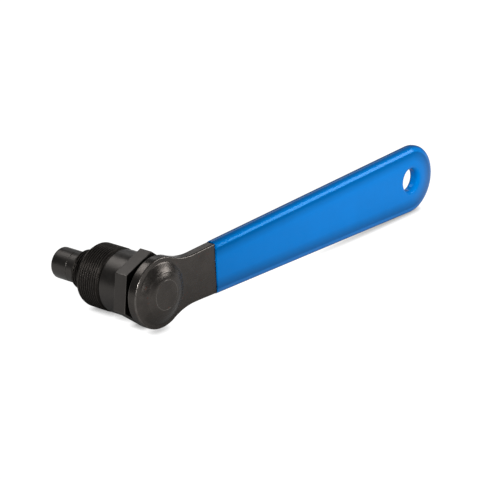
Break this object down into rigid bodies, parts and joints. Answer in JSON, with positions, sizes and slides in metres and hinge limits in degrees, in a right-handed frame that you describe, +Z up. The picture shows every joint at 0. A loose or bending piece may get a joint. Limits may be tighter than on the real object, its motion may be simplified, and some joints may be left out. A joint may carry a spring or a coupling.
{
  "type": "bicycle crank puller",
  "caption": "Crank puller for square taper cranks: hexagon body with a fine outside thread, drive screw with a swivel tip, and a fixed flat handle dipped in blue vinyl.",
  "frame": {"origin": "on the drive screw's axis, at the middle of the crank thread", "axes": "+Z up from the bench that the tool lies on, +X along the handle towards its end, +Y level and towards the tip; the screw's axis leans a few degrees tip down from +Y"},
  "size_m": [0.1613, 0.0501, 0.0259],
  "materials": {
    "black_steel": "black oxide, satin",
    "spring_wire": "drawn wire",
    "blue_vinyl": "glossy dip moulded vinyl"
  },
  "bodies": {
    "puller_body": {"puller_body": "black_steel"},
    "swivel_tip": {"swivel_tip": "black_steel", "tip_snap_ring": "spring_wire"},
    "handle": {"drive_screw": "black_steel", "handle_bar": "black_steel", "vinyl_grip": "blue_vinyl"}
  },
  "joints": [
    {"name": "screw_advance", "type": "slide", "parent": "puller_body", "child": "swivel_tip", "axis": [-0.0003, 0.9954, -0.0954], "range_m": [-0.02026, 0.00093]},
    {"name": "handle_turn", "type": "hinge", "parent": "swivel_tip", "child": "handle", "pos_m": [0, 0, 0], "axis": [-0.0003, 0.9954, -0.0954], "range_deg": [-7290, 330]}
  ],
  "couplings": [
    {"joint": "screw_advance", "follows": "handle_turn", "m_per_rad": 0.00015915}
  ]
}
